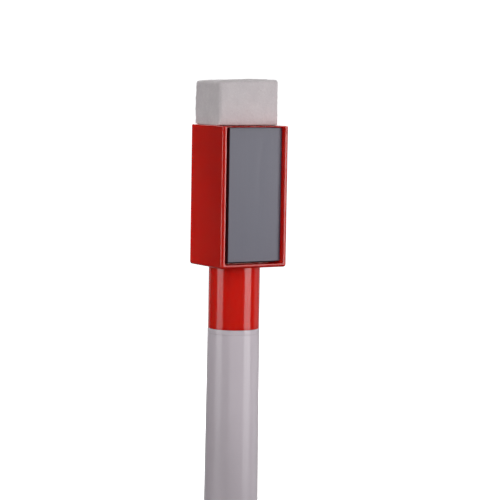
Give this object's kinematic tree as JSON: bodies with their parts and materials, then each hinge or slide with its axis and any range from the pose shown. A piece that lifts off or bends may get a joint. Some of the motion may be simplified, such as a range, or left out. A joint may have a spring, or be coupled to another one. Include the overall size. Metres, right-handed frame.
{
  "type": "dry-erase marker",
  "caption": "Slim whiteboard marker with a tapered round barrel and a pull-off cap whose rectangular head carries a flat magnet and a felt eraser.",
  "frame": {"origin": "centre of the tail's flat end face, on the pen's axis", "axes": "+Z along the pen's axis from the tail to the eraser, -Y out of the magnet's face, +X to the right of someone who faces the magnet"},
  "size_m": [0.0142, 0.0127, 0.1307],
  "materials": {
    "white_plastic": "glossy moulded white polypropylene",
    "red_plastic": "glossy moulded red plastic",
    "inked_fibre": "pressed fibre wet with red ink",
    "clear_film": "clear film wrapped round the fibre rod",
    "liner_plastic": "natural polyethylene",
    "magnet_sheet": "grey ferrite-filled magnet sheet with a satin face",
    "foam_tape": "white double-sided foam tape",
    "felt": "pressed white wool felt",
    "glue": "set glue"
  },
  "bodies": {
    "pen": {"barrel": "white_plastic", "tail_plug": "red_plastic", "nib_holder": "white_plastic", "nib": "inked_fibre", "ink_reservoir": "inked_fibre", "reservoir_film": "clear_film"},
    "cap": {"cap_shell": "red_plastic", "inner_cap": "liner_plastic", "magnet": "magnet_sheet", "magnet_adhesive": "foam_tape", "eraser_block": "felt", "eraser_adhesive": "glue"}
  },
  "joints": [
    {"name": "cap_pull", "type": "slide", "parent": "pen", "child": "cap", "axis": [0, 0, 1], "range_m": [0, 0.03]}
  ]
}
